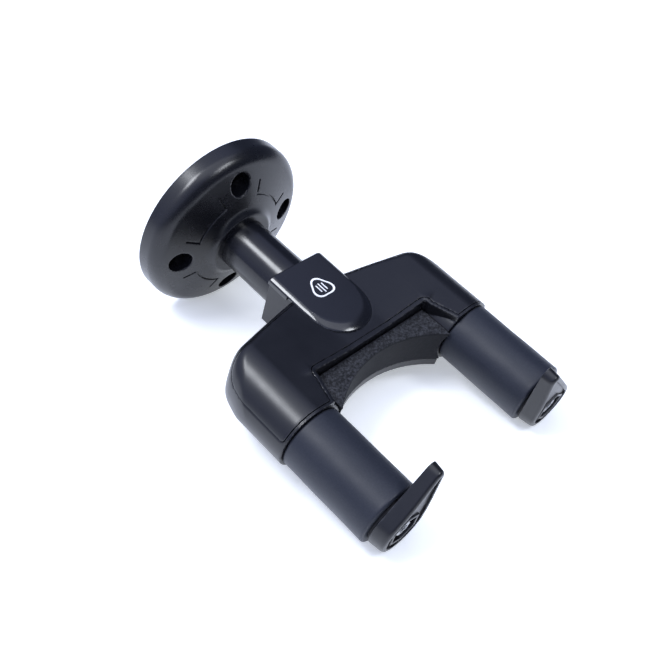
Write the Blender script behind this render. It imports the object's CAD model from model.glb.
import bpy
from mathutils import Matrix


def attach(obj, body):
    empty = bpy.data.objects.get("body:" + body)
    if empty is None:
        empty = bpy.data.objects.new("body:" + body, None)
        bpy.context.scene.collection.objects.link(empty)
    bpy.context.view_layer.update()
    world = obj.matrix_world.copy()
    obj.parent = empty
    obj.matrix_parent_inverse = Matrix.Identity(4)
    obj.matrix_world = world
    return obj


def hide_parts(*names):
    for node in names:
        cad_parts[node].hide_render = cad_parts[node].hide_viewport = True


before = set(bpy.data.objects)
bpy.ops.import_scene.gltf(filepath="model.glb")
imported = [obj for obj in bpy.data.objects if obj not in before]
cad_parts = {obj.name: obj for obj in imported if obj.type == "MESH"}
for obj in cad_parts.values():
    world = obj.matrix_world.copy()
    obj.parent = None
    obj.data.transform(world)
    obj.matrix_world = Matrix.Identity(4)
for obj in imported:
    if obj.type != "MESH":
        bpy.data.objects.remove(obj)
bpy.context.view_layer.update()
import math

import bmesh
import bpy
import numpy as np
from mathutils import Matrix, Vector

MM = 0.001


# ---------------------------------------------------------------- meshes from signed distance functions
def rmax(a, b, r):
    """Intersection with a rounded edge of radius r."""
    return np.minimum(np.maximum(a, b), -r) + np.hypot(np.maximum(a + r, 0), np.maximum(b + r, 0))


def rmin(a, b, r):
    """Union with a rounded inner corner of radius r."""
    return -rmax(-a, -b, r)


def step01(a, b, x):
    t = np.clip((x - a) / (b - a), 0, 1)
    return t * t * (3 - 2 * t)


def dual(f, lo, hi, h):
    """Dual contouring of f = 0: vertices sit on the shape's own edges, faces are quads."""
    lo, hi = np.array(lo, float), np.array(hi, float)
    n = np.ceil((hi - lo) / h).astype(int) + 1
    ax_ = [lo[a] + h * np.arange(n[a]) for a in range(3)]
    F = np.empty(tuple(n), np.float32)
    for i in range(0, n[0], 24):
        X, Y, Z = np.meshgrid(ax_[0][i:i + 24], ax_[1], ax_[2], indexing="ij")
        F[i:i + 24] = f(X, Y, Z)
    inside = F < 0
    nc = n - 1
    cells, owner, pts, nrm, quads = [], [], [], [], []
    base = 0
    for ax in range(3):
        s0, s1 = [slice(None)] * 3, [slice(None)] * 3
        s0[ax], s1[ax] = slice(0, -1), slice(1, None)
        idx = np.argwhere(inside[tuple(s0)] != inside[tuple(s1)])
        b, c = (ax + 1) % 3, (ax + 2) % 3
        ok = (idx[:, b] > 0) & (idx[:, b] < n[b] - 1) & (idx[:, c] > 0) & (idx[:, c] < n[c] - 1)
        idx = idx[ok]
        if not len(idx):
            continue
        j = idx.copy()
        j[:, ax] += 1
        g0, g1 = F[tuple(idx.T)].astype(float), F[tuple(j.T)].astype(float)
        t0, t1 = np.zeros(len(idx)), np.ones(len(idx))
        a0 = lo + h * idx.astype(float)
        for k in range(6):
            t = t0 + (t1 - t0) * (np.clip(g0 / (g0 - g1), 0.03, 0.97) if k % 3 != 2 else 0.5)
            p = a0.copy()
            p[:, ax] += h * t
            fp = f(p[:, 0], p[:, 1], p[:, 2])
            same = (fp < 0) == (g0 < 0)
            t0, g0 = np.where(same, t, t0), np.where(same, fp, g0)
            t1, g1 = np.where(same, t1, t), np.where(same, g1, fp)
        p = a0.copy()
        p[:, ax] += h * (t0 + t1) / 2
        e = 0.01
        g = np.stack([f(*(p + e * np.eye(3)[q]).T) - f(*(p - e * np.eye(3)[q]).T) for q in range(3)], 1)
        g /= np.maximum(np.linalg.norm(g, axis=1, keepdims=True), 1e-9)
        start_in = inside[tuple(idx.T)]
        q4 = []
        for db, dc in ((-1, -1), (0, -1), (0, 0), (-1, 0)):
            cc = idx.copy()
            cc[:, b] += db
            cc[:, c] += dc
            q4.append((cc[:, 0] * nc[1] + cc[:, 1]) * nc[2] + cc[:, 2])
        q4 = np.stack(q4, 1)
        q4 = np.where(start_in[:, None], q4, q4[:, ::-1])
        quads.append(q4)
        for col in range(4):
            cells.append(q4[:, col])
            owner.append(base + np.arange(len(idx)))
        pts.append(p)
        nrm.append(g)
        base += len(idx)
    cells, owner = np.concatenate(cells), np.concatenate(owner)
    pts, nrm, quads = np.concatenate(pts), np.concatenate(nrm), np.concatenate(quads)
    ids, inv = np.unique(cells, return_inverse=True)
    m = len(ids)
    P, N = pts[owner], nrm[owner]
    cnt = np.bincount(inv, minlength=m).astype(float)
    c0 = np.stack([np.bincount(inv, P[:, a], m) for a in range(3)], 1) / cnt[:, None]
    d = np.einsum("ij,ij->i", N, P - c0[inv])
    A = np.zeros((m, 3, 3))
    for a in range(3):
        for b2 in range(a, 3):
            A[:, a, b2] = A[:, b2, a] = np.bincount(inv, N[:, a] * N[:, b2], m)
    rhs = np.stack([np.bincount(inv, N[:, a] * d, m) for a in range(3)], 1)
    A += np.eye(3) * 0.06 * cnt[:, None, None]
    v = c0 + np.linalg.solve(A, rhs[:, :, None])[:, :, 0]
    cell = np.stack([ids // (nc[1] * nc[2]), (ids // nc[2]) % nc[1], ids % nc[2]], 1)
    low = lo + h * cell
    v = np.clip(v, low - 0.02 * h, low + 1.02 * h)
    return v, np.searchsorted(ids, quads)


def mesh_object(name, verts, faces, smooth=32.0, scale=MM):
    me = bpy.data.meshes.new(name)
    verts = np.asarray(verts, float) * scale
    faces = np.asarray(faces)
    me.vertices.add(len(verts))
    me.vertices.foreach_set("co", verts.astype(np.float32).ravel())
    k = faces.shape[1]
    me.loops.add(faces.size)
    me.loops.foreach_set("vertex_index", faces.astype(np.int32).ravel())
    me.polygons.add(len(faces))
    me.polygons.foreach_set("loop_start", np.arange(0, faces.size, k, dtype=np.int32))
    me.update(calc_edges=True)
    me.validate()
    bm = bmesh.new()
    bm.from_mesh(me)
    bmesh.ops.dissolve_degenerate(bm, dist=2e-6, edges=bm.edges)
    # keep the shells that matter: specks left by very thin places go
    seen, parts = set(), []
    for v0 in bm.verts:
        if v0.index in seen:
            continue
        stack, grp = [v0], []
        seen.add(v0.index)
        while stack:
            q = stack.pop()
            grp.append(q)
            for e in q.link_edges:
                o = e.other_vert(q)
                if o.index not in seen:
                    seen.add(o.index)
                    stack.append(o)
        parts.append(grp)
    big = max(len(g) for g in parts)
    junk = [v for g in parts if len(g) < max(60, big * 0.004) for v in g]
    if junk:
        bmesh.ops.delete(bm, geom=junk, context="VERTS")
    bm.to_mesh(me)
    bm.free()
    me.polygons.foreach_set("use_smooth", np.ones(len(me.polygons), bool))
    me.set_sharp_from_angle(angle=math.radians(smooth))
    me.update()
    ob = bpy.data.objects.new(name, me)
    bpy.context.scene.collection.objects.link(ob)
    return ob


# ---------------------------------------------------------------- yoke
XO, R = 39.4, 12.9


def top_h(X):
    """Height of the top: flat in the middle, then a gentle rise that meets each roll."""
    return 10.0 + 0.1128 * np.maximum(0, X - 8.0) ** 2 / (np.maximum(0, X - 8.0) + 6.0)


def rear_line(X, y):
    """Distance outside the rear top edge, which sweeps forwards from the middle."""
    return np.maximum(y + 53.9, ((X - 12) * 0.2045 + (y + 54.6)) / 1.0207)


def plan2(X, y, rear=0.0, side=0.0, r=15.0):
    return rmax(rear_line(X, y) + rear, X - 52.3 + side, r)


def yoke_body(x, y, z):
    """The whole outer skin of the yoke, both shells together, open towards the front."""
    X = np.abs(x)
    circ = np.hypot(X - XO, z) - R
    flat = np.maximum(z - top_h(X), -R - z)
    prof = np.where(X < 37.9, flat, np.where((X < XO) & (z < 0), -R - z, circ))
    k = step01(20, 46, X)
    low = 1 - step01(-7, 6, z)
    bulge = 0.14 * np.clip(10.5 - z, 0, 11)
    pl = rmax(rear_line(X, y) - bulge * (1 - 0.45 * k), X - 52.3, 12.0 + 0.5 * low)
    fade = step01(-79, -68, y)
    rr = ((2.4 + 2.2 * k) * (1 - low) + (3.5 + 1.5 * k) * low) * fade + 0.01
    return rmax(prof, pl, rr)


def slot_x(y):
    """Half width of the crotch slot: it widens towards the collars."""
    return 28.1 + 0.31 * np.maximum(0, -84.6 - y)


def yoke_skin(x, y, z):
    X = np.abs(x)
    A = yoke_body(x, y, z)
    slab = rmax(A, -82.5 - y, 0.5)
    roll = rmax(np.maximum(A, np.hypot(X - XO, z) - R), -95.5 - y, 0.55)
    horn = rmax(rmax(A, slot_x(y) - X, 0.5), np.maximum(-95.5 - y, 6.8 - z), 0.3)
    k = 1.4 * np.exp(-((X - 29.0) / 3.0) ** 2 - ((y + 83.5) / 2.5) ** 2) + 0.02
    return np.minimum(rmin(slab, horn, k), roll)


def lid_zone(x, y, z, grow=0.0):
    """Space of the separate top cover: inside the rear edge, above the sides' parting height, notched round the crotch."""
    X = np.abs(x)
    q = rmax(rear_line(X, y) + 1.7 - grow, 4.7 - z - grow, 6.0)
    q = rmax(q, -94.25 - grow - y, 1.2)
    notch = rmax(X - slot_x(y) - 1.7 + grow, y + 80.6 + grow, 3.2)
    return np.maximum(q, -notch)


def cavity(x, y, z):
    X = np.abs(x)
    box = np.maximum(np.maximum(plan2(X, y, 2.2, 2.2, 13.0), -80.8 - y), np.maximum(X - XO, np.maximum(-11.6 - z, z - 7.8)))
    rolls = np.maximum(np.hypot(X - XO, z) - 10.7, np.maximum(-84 - y, y + 66.5))
    inner = np.maximum(np.minimum(box, rolls), yoke_body(x, y, z) + 1.25)
    bores = np.maximum(np.hypot(X - XO, z) - 9.06, np.maximum(y + 76, -99 - y))
    return np.minimum(inner, bores)


def head_well(x, y, z):
    X = np.abs(x)
    a = np.maximum(np.maximum(X - 12.0, -65.8 - y), np.maximum(-11.6 - z, z - 20))
    b = np.maximum(np.maximum(X - 12.0, -77.8 - y), np.maximum(-11.6 - z, z - 7.8))
    c = np.maximum(np.hypot(x, y + 65.8) - 12.0, np.maximum(7.79 - z, z - 20))
    return np.minimum(np.minimum(a, b), c)


def posts(x, y, z, r):
    X = np.abs(x)
    return np.minimum(np.hypot(X - 20, y + 60.5), np.hypot(X - 20, y + 77.2)) - r


def top_cover(x, y, z):
    s = rmax(yoke_skin(x, y, z), lid_zone(x, y, z), 0.26)
    s = np.maximum(s, -cavity(x, y, z))
    s = np.minimum(s, np.maximum(posts(x, y, z, 3.0), np.maximum(1.0 - z, z - 8.4)))
    s = rmax(s, -head_well(x, y, z), 0.3)
    return np.maximum(s, -np.maximum(posts(x, y, z, 1.3), z - 6.5))


def lower_shell(x, y, z):
    X = np.abs(x)
    s = rmax(yoke_skin(x, y, z), -lid_zone(x, y, z, 0.2), 0.26)
    s = np.maximum(s, -cavity(x, y, z))
    cheek = np.maximum(np.maximum(np.maximum(12.0 - X, X - 13.8), np.maximum(y + 52.9, -79.2 - y)), np.maximum(-12.2 - z, z - 7.65))
    front = np.maximum(np.maximum(X - 13.8, np.maximum(y + 77.8, -79.2 - y)), np.maximum(-12.2 - z, z - 7.65))
    window = np.maximum(np.maximum(11.0 - X, X - 15.0), np.maximum(np.maximum(y + 66.9, -72.7 - y), np.maximum(-6.35 - z, z - 4.35)))
    cheek = np.maximum(np.maximum(cheek, -window), yoke_body(x, y, z) + 0.6)
    s = np.minimum(s, np.minimum(cheek, front))
    s = np.minimum(s, np.maximum(posts(x, y, z, 3.1), np.maximum(-12.2 - z, z - 0.9)))
    arc = 45.1 - np.hypot(x, y + 132.4)
    led = np.maximum(np.maximum(X - 27.5, np.maximum(y + 82.0, -97.0 - y)), np.maximum(-10.4 - z, z + 7.1))
    led = rmax(led, arc, 0.35)
    led = np.maximum(led, 12.3 - np.hypot(X - XO, z))
    led = np.maximum(led, np.where(y < -95.3, 13.15 - np.hypot(X - XO, z), -1.0))
    s = np.minimum(s, led)
    s = rmax(s, -np.maximum(head_well(x, y, z), -77.8 - y), 0.25)
    s = np.maximum(s, -posts(x, y, z, 1.4))
    return np.maximum(s, -np.maximum(posts(x, y, z, 2.75), z + 10.9))


H = 0.5
v, q = dual(top_cover, (-53.5, -96.5, -1.0), (53.6, -50.0, 14.0), H)
cover = mesh_object("yoke_cover", v, q)
v, q = dual(lower_shell, (-53.5, -98.5, -14.0), (53.6, -49.6, 14.0), H)
shell = mesh_object("yoke_shell", v, q)
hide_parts("yoke_top_cover")
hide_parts("yoke_lower_shell")


# ---------------------------------------------------------------- badge: flat top, rounded shoulder, broad nose
def badge(x, y, z):
    X = np.abs(x)

    def u(w, tip):
        c = tip - w
        return np.where(y > -c, X, np.hypot(x, y + c)) - w
    flat, wall = u(10.9, 73.3), u(12.75, 78.45)
    nose = step01(-60, -74, y)
    h = np.clip(flat / np.maximum(flat - wall, 1e-6), 0, 1)
    crown = 11.5 - (0.95 + 0.65 * nose) * h ** (1.3 + 0.8 * nose) - 0.07 * (1 - nose) * (flat > 0)
    s = rmax(rmax(wall, y + 43.25, 0.3), z - crown, 0.45 + 0.55 * nose)
    s = np.maximum(s, 8.64 - z)
    under = np.maximum(np.maximum(z - top_h(X) - 0.06, -u(11.8, 77.6)), y + 52.8)
    bore = np.maximum(np.hypot(x, z) - 10.12, -58.2 - y)
    return np.maximum(s, -np.minimum(under, bore))


v, q = dual(badge, (-13.3, -79.2, 8.2), (13.4, -42.6, 12.1), 0.25)
cap = mesh_object("badge_cap", v, q, smooth=40)
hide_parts("badge_cover")


# ---------------------------------------------------------------- wall plate
def plate(x, y, z):
    r, d = np.hypot(x, z), -y
    cone = (d - 9.4 - (33.3 - r) * 0.309) * 0.9554
    s = rmax(cone, r - 35.0, 4.2)
    s = rmin(s, np.maximum(r - 11.7, d - 17.0), 4.6)
    s = rmax(s, d - 17.0, 0.5)
    th = np.degrees(np.arctan2(z, x))
    hx, hz = np.abs(x * math.cos(math.radians(3)) + z * math.sin(math.radians(3))), np.abs(z * math.cos(math.radians(3)) - x * math.sin(math.radians(3)))
    hole = np.minimum(np.hypot(hx - 25.25, hz), np.hypot(hx, hz - 25.25))
    rel = np.mod(th - 138.0 + 45.0, 90.0) - 45.0
    line = np.maximum(np.abs(r - 20.0), (np.abs(rel) - 23.0) * 0.0175 * r) - 0.4
    tick = np.maximum(np.abs((np.abs(rel) - 23.0) * 0.0175 * r) - 0.4, np.maximum(20.0 - r, r - 25.4))
    groove = np.maximum(np.minimum(line, tick), -(s + 0.55))
    s = rmax(s, -groove, 0.12)
    s = rmax(s, -np.maximum(hole - 4.45, 5.0 - d), 0.35)
    s = np.maximum(s, -(hole - 2.75))
    s = np.maximum(s, -d)
    s = np.maximum(s, -(r - 10.06 + np.where(d < 8.0, 99, 0)))
    s = np.maximum(s, -np.maximum(r - 9.0, d - 6.0))
    return np.maximum(s, 4.15 - r)


v, q = dual(plate, (-35.6, -17.6, -35.6), (35.7, 0.7, 35.7), 0.4)
disc = mesh_object("plate_disc", v, q, smooth=38)
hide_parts("wall_plate")


# ---------------------------------------------------------------- gates
def gate_local(u, v, w):
    """u across, v along the lever, w outwards from its back face."""
    R1, R2, dd = 10.2, 2.9, 21.4
    U = np.abs(u)
    b = (R1 - R2) / dd
    a = math.sqrt(1 - b * b)
    kk = -b * U + a * v
    out = np.where(kk < 0, np.hypot(U, v) - R1, np.where(kk > a * dd, np.hypot(U, v - dd) - R2, U * a + v * b - R1))
    face = 5.6 - 0.9 * step01(6, 25, v)
    side = out + math.tan(math.radians(7.0)) * w
    s = rmax(side, w - face, 1.1)
    s = rmax(s, -w, 0.25)
    pan = np.maximum(side + 1.75, face - 0.75 - w)       # shallow pan inside a thin rim
    s = rmax(s, -pan, 0.18)
    hx = np.maximum(np.maximum(U * math.cos(math.pi / 6) + np.abs(v) * 0.5, np.abs(v)), 0) - 4.8
    rim = rmax(hx - 1.0, np.maximum(w - (face - 0.1), 1.0 - w), 0.3)   # low hexagonal collar round the well
    s = np.minimum(s, rim)
    s = rmax(s, -np.maximum(hx, 3.2 - w), 0.18)
    s = np.maximum(s, -np.maximum(np.hypot(u, v) - 4.02, w - 2.55))
    return np.maximum(s, 1.6 - np.hypot(u, v))


gates = {}
for side, sx in (("left", -1), ("right", 1)):
    v_, q_ = dual(gate_local, (-11.2, -11.2, -0.6), (11.2, 25.4, 6.4), 0.32)
    ang = math.radians(24.0) * (1 if sx < 0 else -1)
    # the lever leans inwards, over the neck gap
    ux, uz = math.cos(ang), -math.sin(ang)
    vx, vz = math.sin(ang), math.cos(ang)
    W = np.stack([sx * XO + v_[:, 0] * ux + v_[:, 1] * vx, -132.3 - v_[:, 2], v_[:, 0] * uz + v_[:, 1] * vz], 1)
    # u, v, w to x, y, z mirrors the space if (u x v) points away from w
    flip = np.dot(np.cross([ux, 0, uz], [vx, 0, vz]), [0, -1, 0]) < 0
    if flip:
        q_ = q_[:, ::-1]
    g = mesh_object("gate_" + side, W, q_, smooth=38)
    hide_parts("gate_lever_" + side)
    gates[side] = g


# ---------------------------------------------------------------- foam sleeves and crotch pad
def lathe_sleeve(name, cx):
    nseg, prof = 128, []
    r_out, r_in, y0, y1 = 11.86, 9.06, -95.58, -131.2
    prof.append((r_in, y0 - 0.05))
    prof.append((r_out - 0.75, y0 - 0.0))
    for k in range(1, 7):
        a = math.pi / 2 * k / 6
        prof.append((r_out - 0.75 + 0.75 * math.sin(a), y0 - 0.75 + 0.75 * math.cos(a)))
    for k in range(1, 60):
        t = k / 60.0
        yy = y0 - 0.75 + (y1 + 0.9 - y0 + 0.75) * t
        sag = 0.05 * math.sin(t * 9.1 + cx) * math.sin(math.pi * t)
        prof.append((r_out - 0.03 + sag * 0.6, yy))
    for k in range(0, 7):
        a = math.pi / 2 * k / 6
        prof.append((r_out - 0.9 + 0.9 * math.cos(a), y1 + 0.9 - 0.9 * math.sin(a)))
    prof.append((r_in, y1 + 0.05))
    for k in range(1, 12):
        prof.append((r_in, y1 + 0.05 + (y0 - 0.05 - y1 - 0.05) * k / 12.0))
    prof = np.array(prof)
    m = len(prof)
    th = 2 * np.pi * np.arange(nseg) / nseg
    V = np.empty((m, nseg, 3))
    for i, (r, yy) in enumerate(prof):
        wob = 0.02 * np.sin(3 * th + yy * 0.2) + 0.015 * np.sin(5 * th - yy * 0.35)
        rr = r + (wob if r > 10.5 else 0)
        V[i, :, 0] = cx + rr * np.cos(th)
        V[i, :, 1] = yy
        V[i, :, 2] = rr * np.sin(th)
    V = V.reshape(-1, 3)
    Fq = []
    for i in range(m):
        i2 = (i + 1) % m
        a = i * nseg + np.arange(nseg)
        b = i * nseg + (np.arange(nseg) + 1) % nseg
        Fq.append(np.stack([a, i2 * nseg + np.arange(nseg), i2 * nseg + (np.arange(nseg) + 1) % nseg, b], 1))
    Fq = np.concatenate(Fq)
    return mesh_object(name, V, Fq, smooth=60)


sleeves = {}
for side, sx in (("left", -1), ("right", 1)):
    s = lathe_sleeve("foam_" + side, sx * XO)
    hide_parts("foam_sleeve_" + side)
    sleeves[side] = s


def pad(x, y, z):
    X = np.abs(x)
    s = np.maximum(y + 82.75, -96.9 - y)
    arc = 45.0 - np.hypot(x, y + 132.4)
    cut = 13.2 - np.hypot(X - XO, z)
    s = rmax(np.maximum(s, arc), cut, 0.5)
    tex = (0.035 * np.sin(2.1 * x + 1.3 * np.sin(1.7 * y)) * np.sin(2.3 * y + 1.1 * np.sin(1.9 * x))
           + 0.05 * np.sin(0.7 * x + 0.4) * np.sin(0.9 * y))
    s = rmax(s, np.maximum(z - 7.0 + tex, -7.0 - z), 0.45)
    return np.maximum(s, X - 29.6)


v, q = dual(pad, (-30.6, -98.0, -8.0), (30.7, -81.6, 8.0), 0.45)
crotch = mesh_object("crotch_foam", v, q, smooth=50)
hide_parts("crotch_pad")


# ---------------------------------------------------------------- materials
def nodes_of(mat):
    mat.use_nodes = True
    nt = mat.node_tree
    nt.nodes.clear()
    out = nt.nodes.new("ShaderNodeOutputMaterial")
    bs = nt.nodes.new("ShaderNodeBsdfPrincipled")
    nt.links.new(bs.outputs[0], out.inputs[0])
    return nt, bs


def noise(nt, scale, detail=3.0, rough=0.55, dist=0.0):
    tc = nt.nodes.get("OBJ") or nt.nodes.new("ShaderNodeTexCoord")
    tc.name = "OBJ"
    n = nt.nodes.new("ShaderNodeTexNoise")
    n.inputs["Scale"].default_value = scale
    n.inputs["Detail"].default_value = detail
    n.inputs["Roughness"].default_value = rough
    n.inputs["Distortion"].default_value = dist
    nt.links.new(tc.outputs["Object"], n.inputs["Vector"])
    return n


def ramp(nt, src, a, b, lo=0.3, hi=0.7):
    r = nt.nodes.new("ShaderNodeMapRange")
    r.inputs["From Min"].default_value = lo
    r.inputs["From Max"].default_value = hi
    r.inputs["To Min"].default_value = a
    r.inputs["To Max"].default_value = b
    nt.links.new(src, r.inputs["Value"])
    return r.outputs["Result"]


def colour_mix(nt, fac, c0, c1):
    m = nt.nodes.new("ShaderNodeMix")
    m.data_type = "RGBA"
    m.inputs[6].default_value = (*c0, 1)
    m.inputs[7].default_value = (*c1, 1)
    nt.links.new(fac, m.inputs[0])
    return m.outputs[2]


def bump(nt, bs, heights, strength, dist):
    b = nt.nodes.new("ShaderNodeBump")
    b.inputs["Strength"].default_value = strength
    b.inputs["Distance"].default_value = dist
    nt.links.new(heights, b.inputs["Height"])
    nt.links.new(b.outputs["Normal"], bs.inputs["Normal"])
    return b


def edge_mask(nt, radius=0.0007, lo=0.80, hi=0.99):
    """1 on worn convex edges, from the difference of a rounded and a plain normal."""
    bev = nt.nodes.new("ShaderNodeBevel")
    bev.samples = 4
    bev.inputs["Radius"].default_value = radius
    geo = nt.nodes.new("ShaderNodeNewGeometry")
    dot = nt.nodes.new("ShaderNodeVectorMath")
    dot.operation = "DOT_PRODUCT"
    nt.links.new(bev.outputs["Normal"], dot.inputs[0])
    nt.links.new(geo.outputs["Normal"], dot.inputs[1])
    r = nt.nodes.new("ShaderNodeMapRange")
    r.inputs["From Min"].default_value = hi
    r.inputs["From Max"].default_value = lo
    r.inputs["To Min"].default_value = 0.0
    r.inputs["To Max"].default_value = 1.0
    nt.links.new(dot.outputs["Value"], r.inputs["Value"])
    return r.outputs["Result"]


def plastic(name, base, light, rough, rvar, grain, gstr, gdist, coat=0.0, coat_rough=0.15, wear=0.5, spec=0.5):
    mat = bpy.data.materials.new(name)
    nt, bs = nodes_of(mat)
    bs.inputs["Specular IOR Level"].default_value = spec
    bs.inputs["Coat Weight"].default_value = coat
    bs.inputs["Coat Roughness"].default_value = coat_rough
    cloud = noise(nt, 70, 4, 0.6)
    fine = noise(nt, grain, 3, 0.6)
    em = edge_mask(nt)
    wn = noise(nt, 420, 4, 0.7)
    mul = nt.nodes.new("ShaderNodeMath")
    mul.operation = "MULTIPLY"
    nt.links.new(em, mul.inputs[0])
    nt.links.new(ramp(nt, wn.outputs["Fac"], 0.0, wear, 0.42, 0.72), mul.inputs[1])
    c = colour_mix(nt, ramp(nt, cloud.outputs["Fac"], 0, 1), base, tuple(x * 1.25 for x in base))
    m2 = nt.nodes.new("ShaderNodeMix")
    m2.data_type = "RGBA"
    nt.links.new(mul.outputs[0], m2.inputs[0])
    nt.links.new(c, m2.inputs[6])
    m2.inputs[7].default_value = (*light, 1)
    nt.links.new(m2.outputs[2], bs.inputs["Base Color"])
    nt.links.new(ramp(nt, cloud.outputs["Fac"], rough - rvar, rough + rvar, 0.3, 0.7), bs.inputs["Roughness"])
    bump(nt, bs, fine.outputs["Fac"], gstr, gdist)
    return mat


def foam(name, base, hi, rough, grain, gstr, gdist, sheen, cut_face=False):
    mat = bpy.data.materials.new(name)
    nt, bs = nodes_of(mat)
    bs.inputs["Sheen Weight"].default_value = sheen
    bs.inputs["Sheen Roughness"].default_value = 0.55
    bs.inputs["Sheen Tint"].default_value = (0.80, 0.86, 1.0, 1)
    bs.inputs["Specular IOR Level"].default_value = 0.35
    cl = noise(nt, 55, 3, 0.5)
    cells = nt.nodes.new("ShaderNodeTexVoronoi")
    cells.inputs["Scale"].default_value = grain
    nt.links.new(nt.nodes["OBJ"].outputs["Object"], cells.inputs["Vector"])
    fine = noise(nt, grain * 0.8, 4, 0.7)
    add = nt.nodes.new("ShaderNodeMath")
    add.operation = "ADD"
    nt.links.new(cells.outputs["Distance"], add.inputs[0])
    nt.links.new(fine.outputs["Fac"], add.inputs[1])
    speck = ramp(nt, fine.outputs["Fac"], 0, 1, 0.42, 0.66)
    height = add.outputs[0]
    if cut_face:                                         # coarse cut face on top, moulded skin on the sides
        sep = nt.nodes.new("ShaderNodeSeparateXYZ")
        nt.links.new(nt.nodes["OBJ"].outputs["Normal"], sep.inputs[0])
        face = ramp(nt, sep.outputs["Z"], 0.0, 1.0, 0.55, 0.9)
        parts = []
        for src in (speck, height):
            mm_ = nt.nodes.new("ShaderNodeMath")
            mm_.operation = "MULTIPLY"
            nt.links.new(src, mm_.inputs[0])
            nt.links.new(ramp(nt, face, 0.12, 1.0, 0.0, 1.0), mm_.inputs[1])
            parts.append(mm_.outputs[0])
        speck, height = parts
    c = colour_mix(nt, speck, base, hi)
    nt.links.new(c, bs.inputs["Base Color"])
    nt.links.new(ramp(nt, cl.outputs["Fac"], rough - 0.05, rough + 0.06), bs.inputs["Roughness"])
    bump(nt, bs, height, gstr, gdist)
    return mat


def metal(name, base, rough, grain, stretch=(1, 1, 1)):
    mat = bpy.data.materials.new(name)
    nt, bs = nodes_of(mat)
    bs.inputs["Metallic"].default_value = 1.0
    n = noise(nt, grain, 4, 0.6)
    c = colour_mix(nt, ramp(nt, n.outputs["Fac"], 0, 1), tuple(x * 0.8 for x in base), base)
    nt.links.new(c, bs.inputs["Base Color"])
    nt.links.new(ramp(nt, n.outputs["Fac"], rough - 0.08, rough + 0.1), bs.inputs["Roughness"])
    bump(nt, bs, n.outputs["Fac"], 0.25, 0.00005)
    return mat


M_YOKE = plastic("moulded_black_yoke", (0.0042, 0.0045, 0.0062), (0.06, 0.062, 0.072), 0.31, 0.035, 5200, 0.10, 0.00004)
M_PLATE = plastic("moulded_black_plate", (0.0038, 0.0041, 0.0058), (0.06, 0.062, 0.072), 0.27, 0.035, 2600, 0.10, 0.00005)
M_BLOCK = plastic("moulded_black_block", (0.0042, 0.0045, 0.0062), (0.06, 0.062, 0.072), 0.40, 0.04, 4200, 0.14, 0.00004)
M_BADGE = plastic("gloss_black_badge", (0.0040, 0.0043, 0.0060), (0.08, 0.082, 0.092), 0.20, 0.02, 3000, 0.05, 0.00003, coat=0.3, coat_rough=0.08)
M_TUBE = plastic("painted_tube", (0.0038, 0.0041, 0.0058), (0.06, 0.062, 0.072), 0.21, 0.03, 1500, 0.10, 0.00004)
M_GATE = plastic("satin_black_gate", (0.0045, 0.0048, 0.0064), (0.16, 0.165, 0.18), 0.33, 0.04, 3800, 0.12, 0.00004, wear=0.7)
M_SLEEVE = foam("sleeve_foam", (0.0115, 0.0140, 0.0225), (0.0165, 0.0195, 0.0290), 0.45, 2400, 0.12, 0.00006, 0.06)
M_PAD = foam("pad_foam", (0.0040, 0.0043, 0.0058), (0.045, 0.047, 0.055), 0.85, 1500, 0.9, 0.00025, 0.03, cut_face=True)
M_RUBBER = plastic("rubber_black", (0.009, 0.009, 0.011), (0.03, 0.03, 0.034), 0.62, 0.05, 2600, 0.25, 0.00006, spec=0.3)
M_NYLON = plastic("nylon_dark", (0.018, 0.018, 0.020), (0.05, 0.05, 0.055), 0.45, 0.05, 2600, 0.18, 0.00005)
M_STEEL = metal("zinc_steel", (0.60, 0.61, 0.63), 0.32, 900)
M_WHITE = plastic("white_print", (0.78, 0.79, 0.80), (0.9, 0.9, 0.9), 0.45, 0.05, 3000, 0.1, 0.00002)


def finish_piece(ob, mat, body=None):
    ob.data.materials.clear()
    ob.data.materials.append(mat)
    if body:
        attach(ob, body)


finish_piece(cover, M_YOKE, "yoke")
finish_piece(shell, M_YOKE, "yoke")
finish_piece(cap, M_BADGE, "head")
finish_piece(disc, M_PLATE, "wall_mount")
finish_piece(crotch, M_PAD, "yoke")
for side in ("left", "right"):
    finish_piece(sleeves[side], M_SLEEVE, "yoke")
    finish_piece(gates[side], M_GATE, "gate_" + side)

CAD = {
    "tube": (M_TUBE, "gloss_black"), "head_block": (M_BLOCK, "gloss_black"),
    "badge_emblem": (M_WHITE, "white_print"),
}
STEELS = ("plate_bolt", "plate_bolt_washer", "swivel_screw", "swivel_washer", "swivel_stop_screw", "trigger_bar",
          "trigger_bar_screws", "return_spring_left", "return_spring_right", "cover_screws", "gate_shaft_left",
          "gate_shaft_right", "gate_screw_left", "gate_screw_right")
replaced = {"wall_plate", "yoke_top_cover", "yoke_lower_shell", "badge_cover", "gate_lever_left", "gate_lever_right",
            "foam_sleeve_left", "foam_sleeve_right", "crotch_pad"}
for n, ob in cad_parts.items():
    if n in replaced:
        continue
    if n in CAD:
        mat, sl = CAD[n]
    elif n in STEELS:
        mat, sl = M_STEEL, "steel"
    elif n.startswith("end_washer"):
        mat, sl = M_RUBBER, "rubber_black"
    else:
        mat, sl = M_NYLON, "nylon"
    ob.data.materials.clear()
    ob.data.materials.append(mat)
    for p in ob.data.polygons:
        p.material_index = 0


# ---------------------------------------------------------------- floor, light, camera
def plane_z(y):
    """Height of the table top under the object, which lies on its plate's rim and its gates."""
    return -35.0 + (y + 5.0) / (-131.2 + 5.0) * (35.0 - 11.86)


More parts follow.
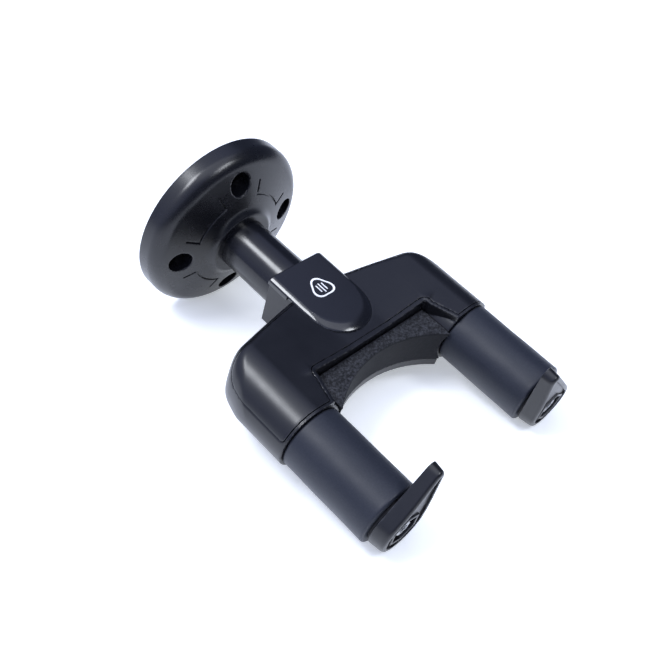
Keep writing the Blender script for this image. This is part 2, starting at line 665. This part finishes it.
tilt = math.atan((35.0 - 11.86) / (131.2 - 5.0))
nrm = Vector((0, math.sin(tilt), math.cos(tilt)))
fb = bmesh.new()
rings, last = (0.0, 0.12, 0.3, 0.7, 1.4, 2.4), None
seg = 96
eu, ev = Vector((1, 0, 0)), Vector((0, math.cos(tilt), -math.sin(tilt)))
origin = Vector((0, -0.07, plane_z(-70) * MM)) - nrm * 0.0004
centre = fb.verts.new(origin)
for r in rings[1:]:
    ring_v = [fb.verts.new(origin + eu * (r * math.cos(2 * math.pi * k / seg)) + ev * (r * math.sin(2 * math.pi * k / seg))) for k in range(seg)]
    for k in range(seg):
        if last is None:
            fb.faces.new((centre, ring_v[k], ring_v[(k + 1) % seg]))
        else:
            fb.faces.new((last[k], ring_v[k], ring_v[(k + 1) % seg], last[(k + 1) % seg]))
    last = ring_v
fm = bpy.data.meshes.new("table_top")
fb.to_mesh(fm)
fb.free()
floor = bpy.data.objects.new("table_top", fm)
bpy.context.scene.collection.objects.link(floor)
mat = bpy.data.materials.new("table_white")
nt, bs = nodes_of(mat)
bs.inputs["Base Color"].default_value = (0.90, 0.915, 0.94, 1)
bs.inputs["Emission Color"].default_value = (0.94, 0.98, 1.0, 1)
bs.inputs["Emission Strength"].default_value = 0.42
bs.inputs["Specular IOR Level"].default_value = 0.35
n1 = noise(nt, 6, 3)
nt.links.new(ramp(nt, n1.outputs["Fac"], 0.26, 0.34), bs.inputs["Roughness"])
fm.materials.append(mat)

world = bpy.data.worlds.new("studio")
bpy.context.scene.world = world
world.use_nodes = True
wn = world.node_tree
wtc = wn.nodes.new("ShaderNodeTexCoord")
dotn = wn.nodes.new("ShaderNodeVectorMath")
dotn.operation = "DOT_PRODUCT"
dotn.inputs[1].default_value = (-0.41, 0.41, 0.81)
wn.links.new(wtc.outputs["Generated"], dotn.inputs[0])
wr = wn.nodes.new("ShaderNodeValToRGB")
wr.color_ramp.interpolation = "EASE"
el = wr.color_ramp.elements
el[0].position, el[0].color = 0.36, (0.085, 0.105, 0.18, 1)
el[1].position, el[1].color = 0.95, (1.0, 1.10, 1.5, 1)
mid = el.new(0.58)
mid.color = (0.62, 0.70, 1.10, 1)
wn.links.new(dotn.outputs["Value"], wr.inputs[0])
wn.links.new(wr.outputs[0], wn.nodes["Background"].inputs[0])
wn.nodes["Background"].inputs[1].default_value = 0.8


def area(name, loc, target, size, power, colour=(1, 1, 1), size_y=None):
    ld = bpy.data.lights.new(name, "AREA")
    ld.shape = "RECTANGLE"
    ld.size, ld.size_y = size, size_y or size
    ld.energy = power
    ld.color = colour
    lo = bpy.data.objects.new(name, ld)
    bpy.context.scene.collection.objects.link(lo)
    lo.location = loc
    lo.rotation_mode = "QUATERNION"
    lo.rotation_quaternion = (Vector(target) - Vector(loc)).to_track_quat("-Z", "Y")
    return lo


T = (0, -0.07, 0)
area("key", (-0.43, 0.36, 0.86), T, 0.42, 6.5, (0.92, 0.95, 1.0), 0.26)
area("front", (0.24, -0.50, 0.84), (0, -0.07, 0.01), 0.30, 2.6, (0.90, 0.94, 1.0), 0.16)
area("top", (0.05, -0.1, 1.1), T, 0.9, 2.5, (0.93, 0.96, 1.0))

sc = bpy.context.scene
cd = bpy.data.cameras.new("view")
cam = bpy.data.objects.new("view", cd)
sc.collection.objects.link(cam)
right = Vector((0.69982, -0.68301, 0.20917)).normalized()
back = Vector((-0.57693, -0.36779, 0.72930)).normalized()
upv = back.cross(right).normalized()
right = upv.cross(back).normalized()
M = Matrix((right, upv, back)).transposed().to_4x4()
M.translation = Vector((-0.188058, -0.182921, 0.234950))
cam.matrix_world = M
cd.sensor_width = 36.0
cd.lens = 50.183
cd.clip_start, cd.clip_end = 0.01, 20
cd.dof.use_dof = False
sc.camera = cam
sc.view_settings.view_transform = "Standard"
